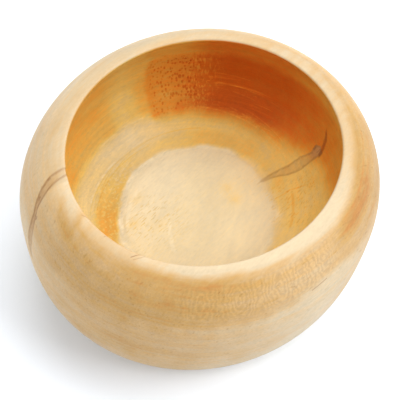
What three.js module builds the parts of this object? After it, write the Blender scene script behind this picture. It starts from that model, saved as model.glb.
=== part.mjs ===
// A small turned wooden bowl for working up shaving lather. It is one block of pale wood, hollowed on
// a lathe: the wall is thick, the shoulder rolls in to a mouth that is narrower than the belly, the
// cavity is undercut behind the rim, and the underside has a shallow recess inside a flat foot ring.
// Millimetres, +Z up. The origin is the centre of the foot, on the surface that the bowl stands on.
// The grain runs along X. Wood shrinks more across its grain than along it, so the plan is oval.
import * as THREE from "three";

// Driving dimensions. Radii are means of the long and the short half of the oval.
const HEIGHT = 54;
const BELLY_RADIUS = 60;
const BELLY_Z = 33;
const FOOT_RADIUS = 37;
const RECESS_RADIUS = 26;
const RECESS_DEPTH = 2;
const RECESS_FILLET = 1;
const MOUTH_RADIUS = 44;
const MOUTH_EDGE_ROUND = 0.9;
const CAVITY_RADIUS = 48.5;
const CAVITY_BELLY_Z = 34;
const FLOOR_RADIUS = 28;
const FLOOR_EDGE_Z = 14.6;
const FLOOR_CENTRE_Z = 14;
const OVALITY = 0.036;

// How far each curve of the section runs on in its starting or ending direction before it bends.
const UNDERSIDE_RUN = 18;
const LOWER_WALL_RUN = 29;
const SHOULDER_RUN = 9.5;
const RIM_RUN = 8;
const UNDERCUT_RUN = 4;
const UNDERCUT_SLOPE = THREE.MathUtils.degToRad(40);
const CAVITY_WALL_RUN = 9;
const COVE_RUN = 13;

// Steps along each long curve, along each small round, and round the bowl.
const CURVE_STEPS = 9;
const ROUND_STEPS = 3;
const TURN_STEPS = 64;

const woodMaterial = new THREE.MeshStandardMaterial({ color: 0xe0b878, roughness: 0.5, metalness: 0 });

// A point of the bowl's section.
function at(radius, z) {
  return new THREE.Vector2(radius, z);
}

// Points along one stretch of the section, without its last point, which starts the next stretch.
function stretch(curve, steps) {
  return curve.getPoints(steps).slice(0, -1);
}

// The underside: a level recess with a filleted wall, then out to the start of the foot ring.
function recessPoints() {
  const fillet = new THREE.QuadraticBezierCurve(
    at(RECESS_RADIUS - RECESS_FILLET, RECESS_DEPTH),
    at(RECESS_RADIUS, RECESS_DEPTH),
    at(RECESS_RADIUS, RECESS_DEPTH - RECESS_FILLET),
  );
  return [at(0, RECESS_DEPTH), ...fillet.getPoints(ROUND_STEPS), at(RECESS_RADIUS, 0)];
}

// The outside: it leaves the foot ring level, stands upright at the belly and is level again at the
// top, so that the shoulder and the rim are one rounded form.
function outsidePoints() {
  const lowerWall = new THREE.CubicBezierCurve(
    at(FOOT_RADIUS, 0),
    at(FOOT_RADIUS + UNDERSIDE_RUN, 0),
    at(BELLY_RADIUS, BELLY_Z - LOWER_WALL_RUN),
    at(BELLY_RADIUS, BELLY_Z),
  );
  const shoulder = new THREE.CubicBezierCurve(
    at(BELLY_RADIUS, BELLY_Z),
    at(BELLY_RADIUS, BELLY_Z + SHOULDER_RUN),
    at(MOUTH_RADIUS + MOUTH_EDGE_ROUND + RIM_RUN, HEIGHT),
    at(MOUTH_RADIUS + MOUTH_EDGE_ROUND, HEIGHT),
  );
  return [...stretch(lowerWall, CURVE_STEPS), ...stretch(shoulder, CURVE_STEPS)];
}

// The eased inner edge of the mouth.
function mouthPoints() {
  const edge = new THREE.QuadraticBezierCurve(
    at(MOUTH_RADIUS + MOUTH_EDGE_ROUND, HEIGHT),
    at(MOUTH_RADIUS, HEIGHT),
    at(MOUTH_RADIUS, HEIGHT - MOUTH_EDGE_ROUND),
  );
  return stretch(edge, ROUND_STEPS);
}

// The inside: back under the rim, down the wall, round the cove and across the slightly dished floor.
function insidePoints() {
  const edgeZ = HEIGHT - MOUTH_EDGE_ROUND;
  const undercut = new THREE.CubicBezierCurve(
    at(MOUTH_RADIUS, edgeZ),
    at(
      MOUTH_RADIUS + UNDERCUT_RUN * Math.sin(UNDERCUT_SLOPE),
      edgeZ - UNDERCUT_RUN * Math.cos(UNDERCUT_SLOPE),
    ),
    at(CAVITY_RADIUS, CAVITY_BELLY_Z + CAVITY_WALL_RUN),
    at(CAVITY_RADIUS, CAVITY_BELLY_Z),
  );
  const cove = new THREE.CubicBezierCurve(
    at(CAVITY_RADIUS, CAVITY_BELLY_Z),
    at(CAVITY_RADIUS, CAVITY_BELLY_Z - CAVITY_WALL_RUN),
    at(FLOOR_RADIUS + COVE_RUN, FLOOR_EDGE_Z),
    at(FLOOR_RADIUS, FLOOR_EDGE_Z),
  );
  return [
    ...stretch(undercut, CURVE_STEPS),
    ...stretch(cove, CURVE_STEPS),
    at(FLOOR_RADIUS, FLOOR_EDGE_Z),
    at(0, FLOOR_CENTRE_Z),
  ];
}

// The section is turned about the axis, and the round bowl is then drawn out into its oval.
function bowlBody() {
  const section = [...recessPoints(), ...outsidePoints(), ...mouthPoints(), ...insidePoints()];
  const geometry = new THREE.LatheGeometry(section, TURN_STEPS);
  geometry.rotateX(Math.PI / 2);
  geometry.scale(1 + OVALITY, 1 - OVALITY, 1);
  const body = new THREE.Mesh(geometry, woodMaterial);
  body.name = "bowl_body";
  return body;
}

const shavingBowl = new THREE.Group();
shavingBowl.add(bowlBody());

export default shavingBowl;
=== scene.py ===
from math import cos, pi, radians, sin

import bpy
import numpy as np
from mathutils import Matrix, Vector, noise


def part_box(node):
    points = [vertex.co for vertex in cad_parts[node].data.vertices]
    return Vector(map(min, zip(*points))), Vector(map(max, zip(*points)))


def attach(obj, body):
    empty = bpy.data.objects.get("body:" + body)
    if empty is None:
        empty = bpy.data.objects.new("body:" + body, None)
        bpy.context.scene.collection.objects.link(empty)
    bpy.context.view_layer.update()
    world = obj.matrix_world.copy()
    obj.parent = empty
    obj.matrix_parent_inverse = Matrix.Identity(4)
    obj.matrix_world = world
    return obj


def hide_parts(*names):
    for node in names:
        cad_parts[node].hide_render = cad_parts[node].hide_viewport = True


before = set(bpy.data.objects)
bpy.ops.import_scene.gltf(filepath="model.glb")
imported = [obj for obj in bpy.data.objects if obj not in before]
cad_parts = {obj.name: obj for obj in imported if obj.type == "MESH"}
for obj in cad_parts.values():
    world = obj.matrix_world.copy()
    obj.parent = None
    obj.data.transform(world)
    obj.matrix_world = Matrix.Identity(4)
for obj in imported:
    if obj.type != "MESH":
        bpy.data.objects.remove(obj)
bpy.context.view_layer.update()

# ---------------------------------------------------------------- sizes
# The section is in bowl millimetres, and its radii are means of the oval's long and short half.
BELLY_RADIUS = 60
BELLY_Z = 33
FOOT_RADIUS = 37
RECESS_RADIUS = 26
RECESS_DEPTH = 2
RECESS_FILLET = 1
MOUTH_RADIUS = 44
MOUTH_ROUND = 0.9
CAVITY_RADIUS = 48.5
CAVITY_Z = 34
FLOOR_RADIUS = 28
FLOOR_EDGE_Z = 14.6
FLOOR_CENTRE_Z = 14

# How far each curve of the section runs on before it bends.
UNDERSIDE_RUN = 18
LOWER_WALL_RUN = 29
SHOULDER_RUN = 9.5
RIM_RUN = 8
UNDERCUT_OUT, UNDERCUT_DOWN = 2.57, 3.06
CAVITY_WALL_RUN = 9
COVE_RUN = 13

# The frame gives the real size and the oval. MM is one bowl millimetre, in metres.
NODE = "bowl_body"
_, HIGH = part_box(NODE)
BELLY = (HIGH.x + HIGH.y) / 2
STRETCH_X = HIGH.x / BELLY
STRETCH_Y = HIGH.y / BELLY
MM = BELLY / BELLY_RADIUS
TALL = HIGH.z / MM

# The turned mesh: steps round the bowl, the length of a step along the section, and the points that
# each curve is first divided into.
TURNS = 400
STEP = 0.76
UNDERSIDE_STEP = 2.4
ROUND_STEP = 0.25
CURVE_POINTS = 400

# Shapes that the tool and the drying of the wood have left, in bowl millimetres.
KNOT_DIP = 0.18
GROOVE_REACH, GROOVE_WIDTH, GROOVE_DEPTH = 52, 0.9, 0.22
TOOL_WAVE_LENGTH, TOOL_WAVE_DEPTH = 6.5, 0.05


# ---------------------------------------------------------------- soft edges and lines
def soft_step(low, high, value):
    """0 on the low side, 1 on the high side, and a smooth change between. Low may be above high."""
    share = np.clip((value - low) / (high - low), 0, 1)
    return share * share * (3 - 2 * share)


def past(place, width, value):
    """0 before a place and 1 after it, with a smooth rise over the width around it."""
    return soft_step(place - width / 2, place + width / 2, value)


def between(low, high, soft, value):
    """1 from low to high, with a smooth change over the soft width around each end."""
    return past(low, soft, value) * past(high, -soft, value)


def follow(pairs, value):
    """The height of a line of (place, height) pairs, straight from each pair to the next."""
    places, heights = zip(*pairs)
    return np.interp(value, places, heights)


def mixed(first, second, share):
    return first + (second - first) * share


def wrapped(turn):
    """A turn in degrees as -180 to 180."""
    return (turn + 180) % 360 - 180


# ---------------------------------------------------------------- the section
def bezier(start, leaving, arriving, end):
    """A finely divided curve of the section, as rows of radius and height."""
    t = np.linspace(0, 1, CURVE_POINTS)[:, None]
    corners = (start, leaving, arriving, end)
    start, leaving, arriving, end = (np.array(corner, float) for corner in corners)
    return (
        (1 - t) ** 3 * start
        + 3 * (1 - t) ** 2 * t * leaving
        + 3 * (1 - t) * t**2 * arriving
        + t**3 * end
    )


def evenly(curve, step):
    """The same curve with its points about one step apart, without the last."""
    lengths = np.concatenate([[0], np.cumsum(np.hypot(*np.diff(curve, axis=0).T))])
    count = max(1, round(lengths[-1] / step))
    at = np.linspace(0, lengths[-1], count + 1)[:-1]
    return np.stack([np.interp(at, lengths, curve[:, 0]), np.interp(at, lengths, curve[:, 1])], -1)


def inside_rows():
    """From the floor's centre, round the cove and up the undercut wall to the mouth edge."""
    edge_z = TALL - MOUTH_ROUND
    floor = np.array([[0, FLOOR_CENTRE_Z], [FLOOR_RADIUS, FLOOR_EDGE_Z]], float)
    cove = bezier(
        (FLOOR_RADIUS, FLOOR_EDGE_Z), (FLOOR_RADIUS + COVE_RUN, FLOOR_EDGE_Z),
        (CAVITY_RADIUS, CAVITY_Z - CAVITY_WALL_RUN), (CAVITY_RADIUS, CAVITY_Z),
    )
    undercut = bezier(
        (CAVITY_RADIUS, CAVITY_Z), (CAVITY_RADIUS, CAVITY_Z + CAVITY_WALL_RUN),
        (MOUTH_RADIUS + UNDERCUT_OUT, edge_z - UNDERCUT_DOWN), (MOUTH_RADIUS, edge_z),
    )
    return np.concatenate([evenly(curve, STEP) for curve in (floor, cove, undercut)])


def outside_rows():
    """From the mouth edge over the shoulder and down to the underside's centre."""
    rim_start = MOUTH_RADIUS + MOUTH_ROUND
    edge = bezier(
        (MOUTH_RADIUS, TALL - MOUTH_ROUND), (MOUTH_RADIUS, TALL - MOUTH_ROUND / 3),
        (MOUTH_RADIUS + MOUTH_ROUND / 3, TALL), (rim_start, TALL),
    )
    shoulder = bezier(
        (rim_start, TALL), (rim_start + RIM_RUN, TALL),
        (BELLY_RADIUS, BELLY_Z + SHOULDER_RUN), (BELLY_RADIUS, BELLY_Z),
    )
    lower_wall = bezier(
        (BELLY_RADIUS, BELLY_Z), (BELLY_RADIUS, BELLY_Z - LOWER_WALL_RUN),
        (FOOT_RADIUS + UNDERSIDE_RUN, 0), (FOOT_RADIUS, 0),
    )
    ring = np.array([[FOOT_RADIUS, 0], [RECESS_RADIUS, 0]], float)
    recess_wall = bezier(
        (RECESS_RADIUS, 0), (RECESS_RADIUS, RECESS_DEPTH / 2),
        (RECESS_RADIUS, RECESS_DEPTH), (RECESS_RADIUS - RECESS_FILLET, RECESS_DEPTH),
    )
    recess = np.array([[RECESS_RADIUS - RECESS_FILLET, RECESS_DEPTH], [0, RECESS_DEPTH]], float)
    stretches = [
        (edge, ROUND_STEP), (shoulder, STEP), (lower_wall, STEP),
        (ring, UNDERSIDE_STEP), (recess_wall, ROUND_STEP), (recess, UNDERSIDE_STEP),
    ]
    return np.concatenate([evenly(curve, step) for curve, step in stretches] + [recess[-1:]])


def surface():
    """Every point of the turned surface: its place, its turn round the axis in degrees, and its
    reach, the distance along the section from the mouth edge, positive inside, negative outside."""
    inside = inside_rows()
    rows = np.concatenate([inside, outside_rows()])
    along = np.concatenate([[0], np.cumsum(np.hypot(*np.diff(rows, axis=0).T))])
    row_reach = along[len(inside)] - along
    turn = np.arange(TURNS) * 360 / TURNS
    around = np.radians(turn)
    radius, z = rows[1:-1, :1], rows[1:-1, 1:]
    columns = (radius * np.cos(around), radius * np.sin(around), z + 0 * around)
    ring_points = np.stack([column.ravel() for column in columns], -1)
    points = np.concatenate([[[0, 0, rows[0, 1]]], ring_points, [[0, 0, rows[-1, 1]]]])
    turns = np.concatenate([[0], np.tile(turn, len(rows) - 2), [0]])
    reaches = np.concatenate([[row_reach[0]], np.repeat(row_reach[1:-1], TURNS), [row_reach[-1]]])
    return points, turns, reaches, len(rows) - 2


def faces_of(rings):
    """Quads between neighbouring rings, and a fan of triangles round each end on the axis."""
    faces = []
    last = rings * TURNS + 1
    last_ring = last - TURNS
    for i in range(TURNS):
        j = (i + 1) % TURNS
        faces.append((0, 1 + i, 1 + j))
        faces.append((last, last_ring + j, last_ring + i))
        for ring in range(rings - 1):
            here = 1 + ring * TURNS
            faces.append((here + i, here + TURNS + i, here + TURNS + j, here + j))
    return faces


# ---------------------------------------------------------------- the stains, as listed lines
# Everything on the surface is placed by turn, in degrees from +X seen from above, and by reach. The
# inside counts its turns from -180 to 180, and the outside from 0 to 360. Each list is a line of
# (turn, value).

# How deeply the oil finish and the lather have coloured the inside, from 0, bare, to 1, red-brown:
# the upper wall, the pale band below it, the ring of finish in the cove, and the floor.
WALL_SOAK = [
    (-180, 0.58), (-120, 0.52), (-70, 0.6), (-35, 0.72), (-22, 0.8), (-12, 0.87), (2, 0.97), (30, 1.0),
    (38, 0.98), (44, 0.91), (50, 0.82), (57, 0.74), (66.3, 0.71), (68.5, 0.57), (80, 0.45), (92, 0.57),
    (115, 0.61), (180, 0.58),
]
PALE_BAND_SOAK = [
    (-180, 0.3), (-45, 0.42), (-15, 0.44), (20, 0.4), (45, 0.37), (60, 0.3), (82, 0.14), (110, 0.24),
    (180, 0.3),
]
RING_SOAK = [
    (-180, 0.46), (-80, 0.32), (-60, 0.34), (-45, 0.4), (-30, 0.42), (-12, 0.44), (24, 0.53), (40, 0.52),
    (60, 0.4), (84, 0.27), (100, 0.34), (115, 0.47), (135, 0.63), (155, 0.6), (180, 0.46),
]
FLOOR_SOAK = [
    (-180, 0.08), (-90, 0.06), (-60, 0.06), (-35, 0.1), (-15, 0.13), (20, 0.08), (60, 0.04), (80, 0),
    (120, 0), (180, 0.08),
]
FLOOR_CENTRE_SOAK = 0.08

# The reach at which the coloured wall gives way to the pale band, and over what width.
WALL_END = [
    (-180, 36), (-60, 31), (-35, 32), (-12, 38), (10, 39.5), (24, 39), (46, 38), (66.3, 37.5), (69, 35),
    (120, 34), (180, 36),
]
WALL_END_WIDTH = [
    (-180, 8), (-45, 7), (-10, 11), (46, 10), (54, 5), (66, 4), (72, 7), (90, 4.5), (180, 8),
]

# The reach at which the ring of finish begins and ends, and half of the width over which it ends.
RING_START = [(-180, 42.5), (-60, 44), (90, 44.7), (115, 43), (180, 42.5)]
RING_START_WIDTH = 3.5
RING_END = [
    (-180, 49.8), (-80, 49.8), (-65, 50.8), (-50, 51.4), (-33, 51.8), (-15, 52.6), (2, 51), (30, 50.6),
    (50, 51), (66, 50.2), (80, 49.6), (105, 49.8), (125, 51), (146, 51), (156, 49.6), (180, 49.6),
]
RING_FADE = [(-180, 0.9), (-70, 2.2), (-45, 2.8), (-20, 3.6), (4, 2), (25, 1), (180, 0.9)]

# How brown the outside is, from 0, pale, to 1, orange-brown: the rim, the belt below it,
# and the low wall. It is mostly weathering; some stretches are painted light and shade, as said above each
# line.
# The low values at the front of the rim, turns 215 to 265, keep it at the palest colour: partly pale wood,
# partly a painted highlight.
RIM_TAN = [
    (0, 0.24), (60, 0.2), (100, 0.3), (135, 0.28), (158, 0.26), (168, 0.32), (185, 0.34), (200, 0.2),
    (215, -0.15), (265, -0.2), (285, 0), (310, 0.26), (340, 0.26), (360, 0.24),
]
# Browner on the right, turns 276 to 320: partly weathering, partly painted shade.
BELT_TAN = [
    (0, 0.35), (40, 0.25), (80, 0.1), (115, 0.25), (140, 0.35), (165, 0.52), (175, 0.66), (182, 0.7),
    (200, 0.79), (222, 0.78), (240, 0.62), (262, 0.45), (276, 0.64), (285, 0.76), (300, 0.8), (320, 0.72),
    (345, 0.5), (360, 0.4),
]
# Browner low on the right, turns 290 to 335: partly weathering, partly painted shade. The dip at turn 150 is
# a painted reflection of the pale floor on the left low edge.
LOW_TAN = [
    (0, 0.3), (60, 0.4), (100, 0.3), (150, 0.12), (163, 0.32), (182, 0.5), (200, 0.56), (215, 0.5),
    (240, 0.24), (262, 0.06), (276, 0.24), (290, 0.54), (310, 0.58), (335, 0.45), (360, 0.3),
]
UNDERSIDE_TAN = 0.38

# How far outside the mouth edge, along the section, the rim gives way to the belt, and the belt to
# the low wall.
RIM_END = [(0, 4.2), (245, 4.2), (262, 5.2), (275, 6.8), (288, 6.2), (300, 4.4), (360, 4.2)]
RIM_END_WIDTH = 4.5
BELT_END = [(0, 20), (240, 21), (256, 19), (270, 19), (280, 22), (360, 20)]
BELT_END_WIDTH = 5


def wobble(points, size, seed):
    """A smooth random value for every point, from about -1 to 1, with lumps of one size."""
    shift = Vector((seed * 7.1, seed * 3.7, seed * 5.3))
    return np.array([noise.noise(Vector(point) / size + shift) for point in points])


def wall_soak(turn, reach, lumps):
    """How deeply the upper wall is coloured: less just under the rim and in one upright strip."""
    under_rim = soft_step(14.5, 8, reach + 1.2 * lumps) * between(-40, 62, 25, turn)
    low_glow = between(8, 40, 16, turn) * between(29, 37, 5, reach)
    paler_strip = between(73, 86, 5, turn) * soft_step(14, 24, reach)
    return follow(WALL_SOAK, turn) - 0.13 * under_rim + 0.05 * low_glow - 0.1 * paler_strip


def inside_soak(turn, reach, lumps):
    """How deeply each point of the inside is coloured. The lumps make the edges of the stains ragged."""
    raggedness = 1.1 + 2 * soft_step(20, 8, reach)
    turn = wrapped(turn) + raggedness * lumps
    reach = reach + 0.6 * lumps
    wall_ended = past(follow(WALL_END, turn), follow(WALL_END_WIDTH, turn), reach)
    ring_begun = past(follow(RING_START, turn), RING_START_WIDTH, reach)
    fade = follow(RING_FADE, turn)
    ring_ended = past(follow(RING_END, turn), 2 * fade, reach + 0.4 * fade * lumps)
    soak = mixed(wall_soak(turn, reach, lumps), follow(PALE_BAND_SOAK, turn), wall_ended)
    soak = mixed(soak, follow(RING_SOAK, turn), ring_begun)
    floor = mixed(FLOOR_CENTRE_SOAK, follow(FLOOR_SOAK, turn), soft_step(75, 60, reach))
    return mixed(soak, floor, ring_ended)


def outside_tan(turn, reach, lumps):
    """How brown each point of the outside is, with ragged edges too: weathering, with painted light and
    shade where the lines say so, and paler towards the foot.
    """
    down = -reach + 1.2 * lumps
    turn = turn + 3 * lumps
    low_patch = between(192, 212, 14, turn) * between(30, 41, 8, down)
    flame = between(273, 297, 12, turn) * between(8.5, 13.5, 4, down)
    # Less brown towards the foot: painted bounce light from the floor on the low edge.
    low = follow(LOW_TAN, turn) + 0.14 * low_patch - 0.14 * soft_step(43, 48, down)
    belt_ended = past(follow(BELT_END, turn), BELT_END_WIDTH, down)
    rim_ended = past(follow(RIM_END, turn), RIM_END_WIDTH, -reach + 0.3 * lumps)
    wall = mixed(follow(BELT_TAN, turn), low, belt_ended) + 0.22 * flame
    tan = mixed(follow(RIM_TAN, turn), wall, rim_ended)
    return mixed(tan, UNDERSIDE_TAN, soft_step(60, 76, down))


# ---------------------------------------------------------------- knots, strokes and spots
# A spike knot is the trace of a small branch that the lathe cut along its length. Its line is
# (reach, turn of its middle, half of its width in millimetres).
INSIDE_KNOT = [
    (28.4, -24.2, 0), (29.4, -24.2, 1.4), (31, -24.4, 1.9), (33, -24.4, 1.6), (35, -23.7, 1.8),
    (37.2, -23.1, 2.3), (40.4, -22.7, 2.3), (42.4, -22.4, 2.05), (44.5, -21.6, 1.9), (47, -20.2, 1.4),
    (50.4, -19.4, 0.9), (53.5, -19.7, 0.5), (55.8, -20.6, 0),
]
INSIDE_KNOT_STALK = [
    (20.8, -22.3, 0.1), (22, -22.7, 0.5), (24.4, -24.3, 0.75), (28, -25.7, 0.75), (30.4, -26.8, 0.7),
    (31.6, -27.2, 0.3),
]
OUTSIDE_KNOT = [
    (-34, 159.2, 0), (-30.5, 158.4, 0.9), (-27, 157.2, 1.5), (-23, 156.2, 1.8), (-18.5, 154.6, 1.4),
    (-16, 153.6, 1.15), (-13.5, 151.5, 1.2), (-9.5, 149, 1.75), (-6, 146.9, 1.9), (-2, 145.3, 1.7),
    (0, 144.7, 1.6), (1.5, 144.4, 1.5),
]

# How strongly a knot is filled with brown, and how strongly its outline shows: (reach, share).
KNOT_FILL = [
    (-24, 0.7), (-11, 0.75), (-7, 0.55), (-4, 0.2), (0, 0.1), (29, 0.85), (33, 0.7), (35, 0.35), (42, 0.35),
    (50, 0.3),
]
KNOT_OUTLINE = [
    (-27, 0), (-22, 0.25), (-15, 0.55), (0, 0.45), (29, 0.5), (35, 0.35), (44, 0.3), (50, 0.3), (55, 0.15),
]

# Strokes are (turn, reach) of both ends, and half of the width in millimetres. First the short dark
# ones, and the fainter ones like them.
STROKES = [
    ((194, -2.7), (197.4, -0.1), 0.16),
    ((257, -19.6), (263, -19.2), 0.2),
    ((145.4, -5.9), (145.9, -6.8), 0.45),
    ((149.8, -11), (150.3, -12.1), 0.4),
    ((154.6, -14.8), (155.1, -16), 0.3),
    ((-26.7, 29.4), (-26.6, 30.8), 0.6),
    ((-22.2, 29.6), (-22.4, 31.6), 0.5),
]
TICKS = [
    ((170.5, -0.2), (167, -1.7), 0.2),
    ((180.4, -1.5), (181.2, -0.1), 0.18),
    ((195.3, -3.1), (199.8, -0.2), 0.16),
]
# Fine pale scratches on the inside, and thin lines where more of the finish has stayed.
SCRATCHES = [
    ((-14, 41.5), (44, 35.5), 0.3),
    ((2, 39.8), (34, 33.6), 0.25),
    ((-6, 38.2), (18, 34.8), 0.15),
    ((18, 27.3), (40, 25.5), 0.25),
    ((13, 30.6), (36, 28), 0.2),
    ((21, 23), (38, 21.8), 0.15),
    ((72, 35), (99, 34.6), 0.3),
    ((98, 42.2), (128, 40.9), 0.4),
    ((78, 50.4), (112, 50.6), 0.4),
    ((112, 50.6), (150, 51.8), 0.5),
    ((106, 55.8), (125, 54.8), 0.6),
    ((125, 54.8), (146, 53.8), 0.6),
    ((155, 68.4), (180, 65), 0.7),
    ((180, 65), (196, 60.8), 0.7),
]
AMBER_LINES = [
    ((42, 43.6), (90, 43.3), 0.25),
    ((90, 43.3), (136, 41), 0.25),
    ((76, 45.4), (132, 43.4), 0.2),
    ((-36, 40), (-35, 46), 0.3),
    ((-35, 46), (-39, 52), 0.3),
    ((-38, 45.5), (-62, 46.4), 0.5),
]
# Warmer wood: the soft wedge under the left of the rim.
WARM_STROKES = [
    ((167, -1.7), (168.5, -4.1), 0.2),
    ((168.5, -4.1), (169.6, -7.6), 0.7),
    ((156.5, -4.4), (161.5, -6.5), 0.5),
    ((161.5, -6.5), (169.6, -8.2), 1.1),
]
# Soft spots of the finish in the cove and on the floor: (turn, reach, size in millimetres, how much
# more soak).
SMUDGES = [
    (-4, 65.6, 2, 0.1),
    (-25.5, 66, 2.4, 0.12),
    (118, 56.5, 3, 0.12),
    (143, 55.5, 2.6, 0.14),
    (150, 64, 4, 0.06),
    (-37, 37, 4, 0.08),
    (-45, 44.5, 3, 0.1),
    (-58, 45.5, 3, 0.08),
]
# The lace on the front: nested ovals round these middles (turn, reach), taller than they are wide.
LACE_MIDDLES = [(221, -12.2), (233, -12.6), (247, -12), (255.5, -12.8), (264, -11.5)]
LACE_TALLER = 2.6

# Distances are kept no further than these: from a streak and a lace middle in millimetres, and from a
# stroke in half widths of it.
STREAK_FAR = 9
LACE_FAR = 40
STROKE_FAR = 20


def arc(turn, from_turn, radius):
    """The distance in millimetres round the bowl from one turn to each point's."""
    return np.radians(wrapped(turn - from_turn)) * radius


def from_streak(streak, turn, reach, radius):
    """The distance in millimetres from a streak's edge, negative within it."""
    reaches, turns, halves = (np.array(column, float) for column in zip(*streak))
    middle = np.interp(reach, reaches, turns)
    half = np.interp(reach, reaches, halves)
    sideways = np.abs(arc(turn, middle, radius)) - half
    beyond = np.maximum(reaches[0] - reach, reach - reaches[-1])
    return np.clip(np.maximum(sideways, beyond), -STREAK_FAR, STREAK_FAR)


def from_strokes(strokes, turn, reach, radius):
    """Where each point lies from its nearest stroke, in half widths of it: to the side, and past its
    ends. Both change evenly across a face, so that a stroke may be finer than the mesh. The third
    value is the distance from the stroke's edge in millimetres."""
    nearest = np.full(len(turn), np.inf)
    side = np.zeros(len(turn))
    beyond_ends = np.zeros(len(turn))
    for (turn_a, reach_a), (turn_b, reach_b), half in strokes:
        across = arc(turn, turn_a, radius)
        up = reach - reach_a
        run = np.stack([np.radians(turn_b - turn_a) * radius, reach_b - reach_a + 0 * radius])
        length = np.hypot(*run) + 1e-6
        along = (across * run[0] + up * run[1]) / length
        aside = (across * run[1] - up * run[0]) / length
        beyond = np.maximum(-along, along - length)
        distance = np.hypot(aside, np.maximum(beyond, 0)) - half
        closer = distance < nearest
        nearest = np.where(closer, distance, nearest)
        side = np.where(closer, np.clip(aside / half, -STROKE_FAR, STROKE_FAR), side)
        beyond_ends = np.where(closer, np.clip(beyond / half, -STROKE_FAR, STROKE_FAR), beyond_ends)
    return side, beyond_ends, nearest


def smudges(turn, reach, radius):
    """How much more of the finish the soft spots hold."""
    total = np.zeros(len(turn))
    for spot_turn, spot_reach, size, strength in SMUDGES:
        across = arc(turn, spot_turn, radius)
        total += strength * np.exp(-((across / size) ** 2) - ((reach - spot_reach) / size) ** 2)
    return total


def from_lace_middle(turn, reach, radius):
    """The oval distance in millimetres from the nearest middle of the lace."""
    nearest = np.full(len(turn), float(LACE_FAR))
    for middle_turn, middle_reach in LACE_MIDDLES:
        tall = (reach - middle_reach) / LACE_TALLER
        nearest = np.minimum(nearest, np.hypot(arc(turn, middle_turn, radius), tall))
    return nearest


# ---------------------------------------------------------------- what the material reads
def painted_light_and_tone(turn, reach, lumps):
    """How bright the wood is painted at each point, around 1, in soft patches by place. It is painted light
    and painted shade, with a little random tone from the lumps: lighter on the right of the cove and floor,
    under the far lip and on the left outside; darker on the left inner wall, under the right lip, on the rim
    away from the front, and low on the right outside.
    """
    signed = wrapped(turn)
    floor = soft_step(51, 54, reach)
    # Painted light inside: lighter on the right of the cove and floor and under the far lip. Painted shade
    # on the left inner wall and under the right lip.
    bright_side = between(-105, 12, 60, signed) * soft_step(26, 40, reach) * soft_step(76, 56, reach)
    cove = between(-64, 50, 30, signed) * between(41, 51, 6, reach)
    dull_side = between(80, 180, 30, signed) * soft_step(22, 34, reach) * (1 - floor)
    lip_far, lip_right = between(6, 98, 20, signed), between(-42, -2, 16, signed)
    under_lip = (lip_far - 0.6 * lip_right) * between(1, 5, 4, reach)
    inside = 0.22 * bright_side + 0.08 * cove - 0.11 * dull_side + 0.13 * under_lip + 0.01 * floor

    # Painted shade and light outside: the rim darker away from the front, the left lighter, the right darker
    # low down. The lumps add random tone.
    rim = between(-7, -1, 2, reach) * soft_step(240, 300, turn + 360 * (turn < 150))
    pale_rim = between(175, 235, 30, turn) * between(-6, 0, 4, reach)
    pale_left = between(90, 158, 30, turn) * between(-65, -4, 6, reach)
    low_left = between(148, 172, 30, turn) * between(-64, -22, 16, reach)
    dull_right = between(288, 330, 70, turn) * between(-68, -6, 16, reach)
    low_right = between(290, 335, 70, turn) * between(-68, -18, 22, reach)
    right_edge = between(300, 340, 50, turn) * between(-36, -12, 12, reach)
    left = 0.12 * pale_left + 0.06 * low_left
    right = 0.12 * dull_right + 0.07 * low_right + 0.03 * right_edge
    return 1 + inside + left - right - 0.02 * pale_rim - 0.09 * rim + 0.03 * lumps


def texture_places(points, turn, reach):
    """Where each texture of the wood shows, from 0 to 1."""
    x, y = points[:, 0], points[:, 1]
    signed = wrapped(turn)
    floor = soft_step(51, 54, reach)
    torn_spot = np.exp(-(((x + 14) / 11) ** 2 + ((y - 10) / 11) ** 2)) * floor
    torn_cove = between(-62, -28, 14, signed) * between(36, 54, 6, reach)
    return {
        "pitted": between(42, 66, 4, signed) * between(11, 36, 7, reach) * soft_step(36, 50, signed),
        "dashed": between(36, 50, 12, signed) * between(12, 36, 8, reach),
        "mottled": between(43.5, 51.5, 4, reach) * soft_step(70, 120, signed),
        "scraped": between(4, 38, 12, signed) * between(23, 34, 6, reach),
        "lace": between(216, 268, 12, turn) * between(-18, -7.5, 4, reach),
        "grainy": 1 - 0.38 * floor - 0.45 * between(-6.5, 1, 3, reach),
        "torn": torn_spot + 0.7 * torn_cove,
    }


def figure(points, turn, reach):
    """Every painted quantity, one value for each point, under the name that the material reads."""
    radius = np.hypot(points[:, 0], points[:, 1])
    lumps = wobble(points, size=7, seed=1) + 0.5 * wobble(points, size=3, seed=2)
    _, _, from_wedge = from_strokes(WARM_STROKES, turn, reach, radius)
    warm = soft_step(1.8, -0.6, from_wedge + 0.4 * lumps)
    inside_knot = from_streak(INSIDE_KNOT, turn, reach, radius)
    outside_knot = from_streak(OUTSIDE_KNOT, turn, reach, radius)
    values = {
        "reach": reach,
        "soak": inside_soak(turn, reach, lumps) + smudges(turn + 4 * lumps, reach, radius),
        "tan": outside_tan(turn, reach, lumps) + 0.24 * warm,
        # The brightness: painted light and painted shade by place, with a little random tone.
        "painted_light_and_tone": painted_light_and_tone(turn, reach, lumps),
        "knot": np.minimum(inside_knot, outside_knot),
        "stalk": from_streak(INSIDE_KNOT_STALK, turn, reach, radius),
        "knot_fill": follow(KNOT_FILL, reach),
        "knot_outline": follow(KNOT_OUTLINE, reach),
        "lace_ring": from_lace_middle(turn, reach, radius),
        **texture_places(points, turn, reach),
    }
    groups = {"stroke": STROKES, "tick": TICKS, "scratch": SCRATCHES, "amber": AMBER_LINES}
    for name, strokes in groups.items():
        values[name + "_side"], values[name + "_past"], _ = from_strokes(strokes, turn, reach, radius)
    return values


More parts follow.
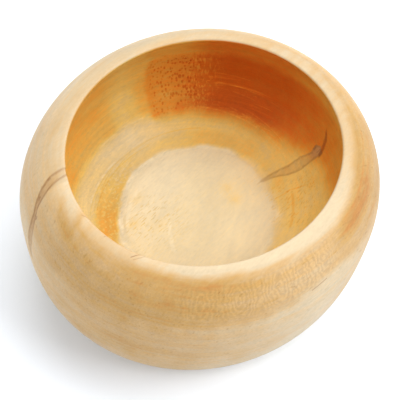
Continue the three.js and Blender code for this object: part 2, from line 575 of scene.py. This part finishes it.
# ---------------------------------------------------------------- the bowl's mesh
def sunk(points, rings, values):
    """The points moved a little into the wood: the knots have shrunk, the tool left a fine groove
    round the edge of the floor, and the hand-turned cavity is not quite true."""
    reach = values["reach"]
    knot_dip = KNOT_DIP * soft_step(0.4, -0.8, np.minimum(values["knot"], values["stalk"]))
    floor_groove = GROOVE_DEPTH * np.exp(-(((reach - GROOVE_REACH) / GROOVE_WIDTH) ** 2))
    waves = 1 + np.sin(reach * 2 * pi / TOOL_WAVE_LENGTH)
    depth = knot_dip + floor_groove + TOOL_WAVE_DEPTH * waves * between(6, 50, 8, reach)
    profile = points[1:-1].reshape(rings, TURNS, 3)[:, 0]
    along = np.gradient(profile[:, [0, 2]], axis=0)
    along /= np.hypot(*along.T)[:, None]
    inward = np.repeat(np.stack([along[:, 1], -along[:, 0]], -1), TURNS, axis=0)
    moved = points.copy()
    ring_points = moved[1:-1]
    radius = np.hypot(ring_points[:, 0], ring_points[:, 1])
    wider = 1 + depth[1:-1] * inward[:, 0] / radius
    ring_points[:, :2] *= wider[:, None]
    ring_points[:, 2] += depth[1:-1] * inward[:, 1]
    return moved


def bowl_mesh():
    points, turn, reach, rings = surface()
    values = figure(points, turn, reach)
    places = sunk(points, rings, values) * [STRETCH_X * MM, STRETCH_Y * MM, MM]
    mesh = bpy.data.meshes.new("turned_bowl")
    mesh.from_pydata(places.tolist(), [], faces_of(rings))
    for name, value in values.items():
        attribute = mesh.attributes.new(name, "FLOAT", "POINT")
        attribute.data.foreach_set("value", value.astype(np.float32))
    mesh.shade_smooth()
    mesh.update()
    return mesh


# ---------------------------------------------------------------- the wood's material
# Colours are linear: (share of the ramp, colour).
SOAK_COLOURS = [
    (0.0, (0.645, 0.565, 0.38)), (0.1, (0.645, 0.535, 0.315)), (0.2, (0.64, 0.49, 0.235)),
    (0.42, (0.635, 0.435, 0.12)), (0.6, (0.63, 0.345, 0.065)), (0.75, (0.61, 0.24, 0.028)),
    (0.88, (0.56, 0.145, 0.012)), (1.0, (0.47, 0.083, 0.003)),
]
TAN_COLOURS = [
    (0.0, (0.585, 0.465, 0.3)), (0.25, (0.56, 0.403, 0.225)), (0.5, (0.525, 0.34, 0.155)),
    (0.75, (0.475, 0.285, 0.095)), (1.0, (0.43, 0.2, 0.055)),
]
KNOT_BODY_COLOUR = (0.43, 0.25, 0.105)
OUTER_EDGE_COLOUR = (0.25, 0.115, 0.04)
INNER_EDGE_COLOUR = (0.31, 0.14, 0.032)
STALK_COLOUR = (0.22, 0.05, 0.012)

# The noises of the wood are drawn out along the grain, which runs along X: length and width of their
# lumps in millimetres, then how each is broken up.
GRAINS = {
    "fibre": {"length": 14, "width": 0.8, "detail": 3, "roughness": 0.6},
    "streak": {"length": 42, "width": 3.2, "detail": 3, "distortion": 0.3},
    "blotch": {"length": 16, "width": 10},
    "mottle": {"length": 3.2, "width": 1.5, "roughness": 0.6},
    "hair": {"length": 9, "width": 0.45},
    "cloud": {"length": 7, "width": 5, "detail": 3, "roughness": 0.6},
    "grit": {"length": 1.3, "width": 0.55, "detail": 1},
}
PORE_GRAIN = {"length": 3.2, "width": 0.42, "detail": 1}
FLECK_GRAIN = {"length": 2.4, "width": 0.9}
TEAR_GRAIN = {"length": 2.2, "width": 0.5, "detail": 1}
FRECKLE_SIZE = 1 / 0.9
DASH_WIDTH, DASH_HEIGHT = 0.7, 2.4
PIT_WIDTH, PIT_HEIGHT = 1.1, 1.9

# The growth layers lie nearly level, rise a little towards +Y, and are gently bent.
LAYER_ACROSS = (0.03, -0.08, 1)
LAYER_BEND_GRAIN = {"length": 30, "width": 22, "detail": 1}
LAYER_BEND = 1.6
THIN_LAYER, THICK_LAYER = 0.75, 3.2

# Lathe marks: their thickness along the section, and how often they change round the bowl.
LATHE_MARK_WIDTH = 0.8
LATHE_MARK_CHANGES = 2.6

LACE_PITCH = 1.2
LACE_STRENGTH = 0.07

# A noise shows as marks where it goes from the first value to the second.
PORE_RISE = (0.6, 0.72)
FLECK_RISE = (0.6, 0.74)
TEAR_RISE = (0.56, 0.68)
FRECKLE_RISE = (0.5, 0.66)
DASH_RISE = (0.5, 0.64)
SCRAPE_RISE = (0.12, 0.4)
SCRATCH_RISE = (-0.5, 0.5)
PIT_RISE = (0.5, 0.1)

# Where the inside begins and where the belly's flecks begin, by reach, and where the lathe marks
# begin, by the distance from the axis, all in millimetres.
INSIDE_RISE = (-0.8, -0.25)
BELLY_RISE = (-6, -9)
OFF_AXIS_RISE = (3, 12)

# How the unevenness rises from bare wood, and falls again towards fully coloured wood.
BARE_RISE = (-0.12, 0.5)
FULL_FALL = (1.3, 0.6)

# The soft edges of the knots, in millimetres from their outlines. The dark edge lies a little inside.
KNOT_EDGE_INSET = 0.3
KNOT_EDGE_FALL = (0.85, 0)
KNOT_BODY_FALL = (0.3, -0.3)
STALK_FALL = (0.5, -0.6)
STALK_STRENGTH = 0.65
STROKE_STRENGTH = 0.6
TICK_STRENGTH = 0.3

# How much of each noise, from -1 to 1, and of each mark, from 0 to 1, goes into what the shader needs.
UNEVEN_SOAK = {
    "fibre": 0.05, "streak": 0.08, "blotch": 0.07, "mottle": 0.04, "lathe": 0.08, "layer": 0.08,
    "cloud": 0.08, "band": 0.08,
}
SOAK_MARKS = {
    "pits": 0.15, "light_dashes": -0.12, "scrapes": -0.1, "tears": 0.18, "hair": 0.05, "grit": 0.06,
    "freckles": -0.16, "scratch": -0.1, "amber": 0.12,
}
TAN_MARKS = {
    "fibre": 0.12, "cloud": 0.08, "streak": 0.18, "blotch": 0.12, "mottle": 0.1, "lathe": 0.14,
    "layer": 0.32, "band": 0.28, "hair": 0.05, "fleck": 0.12,
}
GRAIN_SHADE = {
    "cloud": 0.06, "fibre": 0.05, "streak": 0.04, "lathe": 0.07, "layer": 0.17, "band": 0.06,
    "grit": 0.12, "hair": 0.06, "mottle": 0.11,
}
SHADE_MARKS = {"pits": -0.07, "pore": -0.05, "tears": -0.09, "scrapes": 0.1, "scratch": 0.06, "fleck": -0.09}
ROUGHNESS_MARKS = {"fibre": 0.08, "blotch": 0.08, "pits": 0.15, "inside": 0.2}
HEIGHT_MARKS = {
    "fibre": 0.4, "grit": 0.15, "lathe": 0.3, "pits": -0.6, "pore": -0.5, "tears": -0.8,
    "knot_edge": -0.5, "stroke": -0.5,
}
MEAN_ROUGHNESS = 0.5
SPECULAR = 0.2
BUMP_STRENGTH = 0.6
BUMP_DEPTH = 0.12 * MM


class Painter:
    """Makes shader nodes. Every call but put gives back the socket or the node that it makes."""

    def __init__(self, material):
        self.tree = material.node_tree

    def node(self, kind, **settings):
        made = self.tree.nodes.new(kind)
        for name, value in settings.items():
            setattr(made, name, value)
        return made

    def put(self, value, socket):
        """Links a socket, or sets a plain value."""
        if isinstance(value, bpy.types.NodeSocket):
            self.tree.links.new(value, socket)
        elif isinstance(value, tuple) and len(value) < len(socket.default_value):
            socket.default_value = (*value, 1)
        else:
            socket.default_value = value

    def attribute(self, name):
        return self.node("ShaderNodeAttribute", attribute_name=name).outputs["Fac"]

    def math(self, operation, first, second=0.0):
        made = self.node("ShaderNodeMath", operation=operation)
        self.put(first, made.inputs[0])
        self.put(second, made.inputs[1])
        return made.outputs[0]

    def plus(self, first, second):
        return self.math("ADD", first, second)

    def times(self, first, second):
        return self.math("MULTIPLY", first, second)

    def total(self, start, sockets, amounts):
        """The start, plus each named socket times its amount."""
        for name, amount in amounts.items():
            start = self.plus(start, self.times(sockets[name], amount))
        return start

    def centred(self, value):
        """A value from 0 to 1 made into one from -1 to 1."""
        return self.times(self.math("SUBTRACT", value, 0.5), 2)

    def rise(self, value, low, high):
        """0 at low, 1 at high, smooth between. Low may be above high."""
        made = self.node("ShaderNodeMapRange", interpolation_type="SMOOTHSTEP")
        self.put(value, made.inputs["Value"])
        made.inputs["From Min"].default_value = low
        made.inputs["From Max"].default_value = high
        return made.outputs[0]

    def line(self, name):
        """1 on the strokes of that name, softly falling to 0 beside them and past their ends."""
        side = self.math("ABSOLUTE", self.attribute(name + "_side"))
        return self.times(self.rise(side, 1.5, 0.4), self.rise(self.attribute(name + "_past"), 1, -0.5))

    def vector(self, operation, first, second=None):
        made = self.node("ShaderNodeVectorMath", operation=operation)
        self.put(first, made.inputs[0])
        if second is not None:
            self.put(second, made.inputs[1])
        return made

    def scaled(self, vector, factors):
        return self.vector("MULTIPLY", vector, factors).outputs[0]

    def joined(self, x=0.0, z=0.0):
        """A vector made of its X and its Z."""
        made = self.node("ShaderNodeCombineXYZ")
        self.put(x, made.inputs["X"])
        self.put(z, made.inputs["Z"])
        return made.outputs[0]

    def noise(self, vector, detail=2, roughness=0.5, distortion=0):
        made = self.node("ShaderNodeTexNoise")
        self.put(vector, made.inputs["Vector"])
        made.inputs["Scale"].default_value = 1
        made.inputs["Detail"].default_value = detail
        made.inputs["Roughness"].default_value = roughness
        made.inputs["Distortion"].default_value = distortion
        return made.outputs[0]

    def grain(self, place, length, width, **settings):
        """Noise from 0 to 1 whose lumps are drawn out along X."""
        return self.noise(self.scaled(place, (1 / length, 1 / width, 1 / width)), **settings)

    def ramp(self, value, stops):
        made = self.node("ShaderNodeValToRGB")
        self.put(value, made.inputs[0])
        points = made.color_ramp.elements
        while len(points) < len(stops):
            points.new(1)
        for point, (place, colour) in zip(points, stops):
            point.position = place
            point.color = (*colour, 1)
        return made.outputs[0]

    def blend(self, share, first, second):
        made = self.node("ShaderNodeMix", data_type="RGBA")
        self.put(share, made.inputs[0])
        self.put(first, made.inputs[6])
        self.put(second, made.inputs[7])
        return made.outputs[2]

    def shaded(self, colour, brightness):
        made = self.vector("SCALE", colour)
        self.put(brightness, made.inputs["Scale"])
        return made.outputs[0]


def growth_layers(paint, place, streak, thickness, **settings):
    """Noise that changes from one growth layer to the next: fine lines on the walls, and broad swirls
    on the floor, where the cut runs almost along the layers."""
    height = paint.vector("DOT_PRODUCT", place, LAYER_ACROSS).outputs["Value"]
    bend = paint.times(paint.centred(paint.grain(place, **LAYER_BEND_GRAIN)), LAYER_BEND)
    layer = paint.times(paint.plus(height, bend), 1 / thickness)
    return paint.noise(paint.joined(x=streak, z=layer), **settings)


def lathe_marks(paint, place, reach):
    """Marks that run round the bowl, from -1 to 1: the noise is read along the direction from the
    axis and the reach. They fade out near the axis, where every direction meets."""
    flat = paint.scaled(place, (1, 1, 0))
    outward = paint.vector("NORMALIZE", flat).outputs[0]
    around = paint.scaled(outward, (LATHE_MARK_CHANGES, LATHE_MARK_CHANGES, 0))
    along = paint.joined(z=paint.times(reach, 1 / LATHE_MARK_WIDTH))
    marks = paint.noise(paint.vector("ADD", around, along).outputs[0])
    off_axis = paint.rise(paint.vector("LENGTH", flat).outputs["Value"], *OFF_AXIS_RISE)
    return paint.times(paint.centred(marks), off_axis)


def wood_noises(paint, place, reach):
    """The noises of the wood by name, each from about -1 to 1."""
    raw = {name: paint.grain(place, **settings) for name, settings in GRAINS.items()}
    raw["layer"] = growth_layers(paint, place, raw["streak"], THIN_LAYER, roughness=0.6)
    raw["band"] = growth_layers(paint, place, raw["streak"], THICK_LAYER)
    noises = {name: paint.centred(value) for name, value in raw.items()}
    noises["lathe"] = lathe_marks(paint, place, reach)
    return noises


def end_grain_pits(paint, place, wood):
    """The pitted end grain on the far wall: upright dark dots."""
    cells = paint.node("ShaderNodeTexVoronoi")
    paint.put(paint.scaled(place, (1 / PIT_WIDTH, 1 / PIT_WIDTH, 1 / PIT_HEIGHT)), cells.inputs["Vector"])
    cells.inputs["Scale"].default_value = 1
    ragged = paint.total(cells.outputs["Distance"], wood, {"mottle": 0.35, "blotch": 0.2})
    return paint.times(paint.rise(ragged, *PIT_RISE), paint.attribute("pitted"))


def wood_marks(paint, place, reach, wood):
    """The marks on the wood by name, each from 0, none, to 1, full."""
    inside = paint.rise(reach, *INSIDE_RISE)
    belly = paint.rise(reach, *BELLY_RISE)
    pores = paint.grain(place, **PORE_GRAIN)
    flecks = paint.grain(place, **FLECK_GRAIN)
    tears = paint.grain(place, **TEAR_GRAIN)
    freckles = paint.noise(paint.scaled(place, (1 / FRECKLE_SIZE,) * 3))
    dashes = paint.noise(paint.scaled(place, (1 / DASH_WIDTH, 1 / DASH_WIDTH, 1 / DASH_HEIGHT)), detail=1)
    return {
        "inside": inside,
        "pore": paint.times(paint.rise(pores, *PORE_RISE), inside),
        "fleck": paint.times(paint.rise(flecks, *FLECK_RISE), belly),
        "tears": paint.times(paint.rise(tears, *TEAR_RISE), paint.attribute("torn")),
        "pits": end_grain_pits(paint, place, wood),
        "scrapes": paint.times(paint.rise(wood["lathe"], *SCRAPE_RISE), paint.attribute("scraped")),
        "freckles": paint.times(paint.rise(freckles, *FRECKLE_RISE), paint.attribute("mottled")),
        "light_dashes": paint.times(paint.rise(dashes, *DASH_RISE), paint.attribute("dashed")),
        "scratch": paint.times(paint.line("scratch"), paint.rise(wood["mottle"], *SCRATCH_RISE)),
        "amber": paint.line("amber"),
    }


def knot_marks(paint, wood):
    """The knots' bodies, dark edges and stalk, and the short dark strokes, by name."""
    ragged = paint.total(0, wood, {"mottle": 0.35, "fibre": 0.2})
    knot = paint.plus(paint.attribute("knot"), ragged)
    stalk = paint.plus(paint.attribute("stalk"), ragged)
    edge = paint.rise(paint.math("ABSOLUTE", paint.plus(knot, KNOT_EDGE_INSET)), *KNOT_EDGE_FALL)
    outline = paint.times(paint.attribute("knot_outline"), paint.total(1, wood, {"mottle": 1.2}))
    fill = paint.total(paint.attribute("knot_fill"), wood, {"fibre": 0.35})
    stroke = paint.times(paint.line("stroke"), paint.total(STROKE_STRENGTH, wood, {"fibre": 0.5}))
    tick = paint.times(paint.line("tick"), paint.total(TICK_STRENGTH, wood, {"fibre": 0.3}))
    return {
        "knot_body": paint.times(paint.rise(knot, *KNOT_BODY_FALL), fill),
        "knot_edge": paint.times(edge, outline),
        "stalk": paint.times(paint.rise(stalk, *STALK_FALL), STALK_STRENGTH),
        "stroke": paint.plus(stroke, tick),
    }


def soaked_colour(paint, wood):
    """The colour of the inside. Bare wood and fully coloured wood are more even than what lies between."""
    soak = paint.attribute("soak")
    evened = paint.times(paint.rise(soak, *BARE_RISE), paint.rise(soak, *FULL_FALL))
    uneven = paint.times(paint.total(0, wood, UNEVEN_SOAK), evened)
    marked = paint.total(paint.plus(soak, uneven), wood, SOAK_MARKS)
    return paint.ramp(marked, SOAK_COLOURS)


def brightness(paint, wood):
    """How bright the wood is: the painted light and shade by place, with the grain, the marks and the lace
    on the front.
    """
    rings = paint.total(paint.attribute("lace_ring"), wood, {"mottle": 1.2, "blotch": 1.5})
    waves = paint.math("SINE", paint.times(rings, 2 * pi / LACE_PITCH))
    lace = paint.times(paint.times(waves, paint.attribute("lace")), LACE_STRENGTH)
    grain_shade = paint.times(paint.total(0, wood, GRAIN_SHADE), paint.attribute("grainy"))
    # The attribute carries painted light and painted shade, placed on the wood.
    even_shade = paint.plus(paint.attribute("painted_light_and_tone"), lace)
    return paint.total(paint.plus(even_shade, grain_shade), wood, SHADE_MARKS)


def wood_colour(paint, wood):
    """The wood's colour, made lighter and darker by the painted light and shade, with the knots and strokes
    painted over it.
    """
    weathered = paint.ramp(paint.total(paint.attribute("tan"), wood, TAN_MARKS), TAN_COLOURS)
    stained = paint.blend(wood["inside"], weathered, soaked_colour(paint, wood))
    colour = paint.shaded(stained, brightness(paint, wood))
    edge_colour = paint.blend(wood["inside"], OUTER_EDGE_COLOUR, INNER_EDGE_COLOUR)
    colour = paint.blend(wood["knot_body"], colour, KNOT_BODY_COLOUR)
    colour = paint.blend(wood["knot_edge"], colour, edge_colour)
    colour = paint.blend(wood["stalk"], colour, STALK_COLOUR)
    return paint.blend(wood["stroke"], colour, OUTER_EDGE_COLOUR)


def wood_material():
    material = bpy.data.materials.new("turned_wood")
    material.use_nodes = True
    paint = Painter(material)
    place = paint.scaled(paint.node("ShaderNodeTexCoord").outputs["Object"], (1 / MM, 1 / MM, 1 / MM))
    reach = paint.attribute("reach")
    wood = wood_noises(paint, place, reach)
    wood.update(wood_marks(paint, place, reach, wood))
    wood.update(knot_marks(paint, wood))

    shader = paint.tree.nodes["Principled BSDF"]
    shader.inputs["Specular IOR Level"].default_value = SPECULAR
    paint.put(wood_colour(paint, wood), shader.inputs["Base Color"])
    paint.put(paint.total(MEAN_ROUGHNESS, wood, ROUGHNESS_MARKS), shader.inputs["Roughness"])
    bump = paint.node("ShaderNodeBump")
    bump.inputs["Strength"].default_value = BUMP_STRENGTH
    bump.inputs["Distance"].default_value = BUMP_DEPTH
    paint.put(paint.total(0, wood, HEIGHT_MARKS), bump.inputs["Height"])
    paint.put(bump.outputs[0], shader.inputs["Normal"])
    return material


def turned_bowl():
    mesh = bowl_mesh()
    mesh.materials.append(wood_material())
    bowl = bpy.data.objects.new("turned_bowl", mesh)
    bpy.context.scene.collection.objects.link(bowl)
    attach(bowl, "root")
    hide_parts(NODE)


# ---------------------------------------------------------------- floor, light and camera
# These are in metres and watts, and the angles of the lamps in degrees.
FLOOR_HALF = 4.0
FLOOR_COLOUR = (0.875, 0.92, 0.98, 1)
FLOOR_ROUGHNESS = 0.9
FLOOR_SPECULAR = 0.1
DAYLIGHT = 0.43
LAMP_DISTANCE = 1.1
LAMPS = [
    {"name": "back_lamp", "azimuth": 20, "elevation": 55, "size": 1.4, "power": 12.4},
    {"name": "side_lamp", "azimuth": -60, "elevation": 45, "size": 0.8, "power": 8.8},
    {"name": "left_lamp", "azimuth": 180, "elevation": 45, "size": 0.8, "power": 4.2},
]

# The camera's azimuth is 0 where it looks along +Y. It aims a little off the axis at the belly's height.
CAMERA_AZIMUTH = radians(-54)
CAMERA_ELEVATION = radians(56.34)
CAMERA_ROLL = radians(5.43)
CAMERA_DISTANCE = 5.25 * BELLY
AIM_RIGHT = 0.0014 * BELLY
AIM_UP = 0.1076 * BELLY
CAMERA_LENS = 84.8
CAMERA_SENSOR = 36
CAMERA_NEAR = 0.01


def pale_floor():
    corners = [(-1, -1), (1, -1), (1, 1), (-1, 1)]
    mesh = bpy.data.meshes.new("floor")
    mesh.from_pydata([(x * FLOOR_HALF, y * FLOOR_HALF, 0) for x, y in corners], [], [(0, 1, 2, 3)])
    floor = bpy.data.objects.new("floor", mesh)
    bpy.context.scene.collection.objects.link(floor)
    material = bpy.data.materials.new("pale_floor")
    material.use_nodes = True
    shader = material.node_tree.nodes["Principled BSDF"]
    shader.inputs["Base Color"].default_value = FLOOR_COLOUR
    shader.inputs["Roughness"].default_value = FLOOR_ROUGHNESS
    shader.inputs["Specular IOR Level"].default_value = FLOOR_SPECULAR
    mesh.materials.append(material)


def soft_daylight():
    world = bpy.data.worlds.new("daylight")
    world.use_nodes = True
    background = world.node_tree.nodes["Background"]
    background.inputs["Color"].default_value = (1, 1, 1, 1)
    background.inputs["Strength"].default_value = DAYLIGHT
    bpy.context.scene.world = world


def outwards(azimuth, elevation):
    """The direction away from the bowl at an azimuth from +X and an elevation, in radians."""
    level = cos(elevation)
    return Vector((cos(azimuth) * level, sin(azimuth) * level, sin(elevation)))


def soft_lamp(name, azimuth, elevation, size, power):
    """A round lamp that faces the bowl. Its azimuth is counted from +X, seen from above."""
    lamp = bpy.data.lights.new(name, "AREA")
    lamp.shape = "DISK"
    lamp.size = size
    lamp.energy = power
    away = outwards(radians(azimuth), radians(elevation))
    holder = bpy.data.objects.new(name, lamp)
    holder.location = Vector((0, 0, HIGH.z / 2)) + away * LAMP_DISTANCE
    holder.rotation_euler = away.to_track_quat("Z", "Y").to_euler()
    bpy.context.scene.collection.objects.link(holder)


def main_camera():
    back = outwards(CAMERA_AZIMUTH - pi / 2, CAMERA_ELEVATION)
    right = Vector((cos(CAMERA_AZIMUTH), sin(CAMERA_AZIMUTH), 0))
    up = back.cross(right)
    belly_middle = Vector((0, 0, BELLY_Z * MM))
    data = bpy.data.cameras.new("camera")
    data.lens = CAMERA_LENS
    data.sensor_width = CAMERA_SENSOR
    data.clip_start = CAMERA_NEAR
    camera = bpy.data.objects.new("camera", data)
    turned = Matrix((right, up, back)).transposed() @ Matrix.Rotation(CAMERA_ROLL, 3, "Z")
    place = belly_middle - AIM_RIGHT * right - AIM_UP * up + CAMERA_DISTANCE * back
    camera.matrix_world = Matrix.Translation(place) @ turned.to_4x4()
    bpy.context.scene.collection.objects.link(camera)
    bpy.context.scene.camera = camera


turned_bowl()
pale_floor()
soft_daylight()
for settings in LAMPS:
    soft_lamp(**settings)
main_camera()
bpy.context.scene.view_settings.view_transform = "Standard"
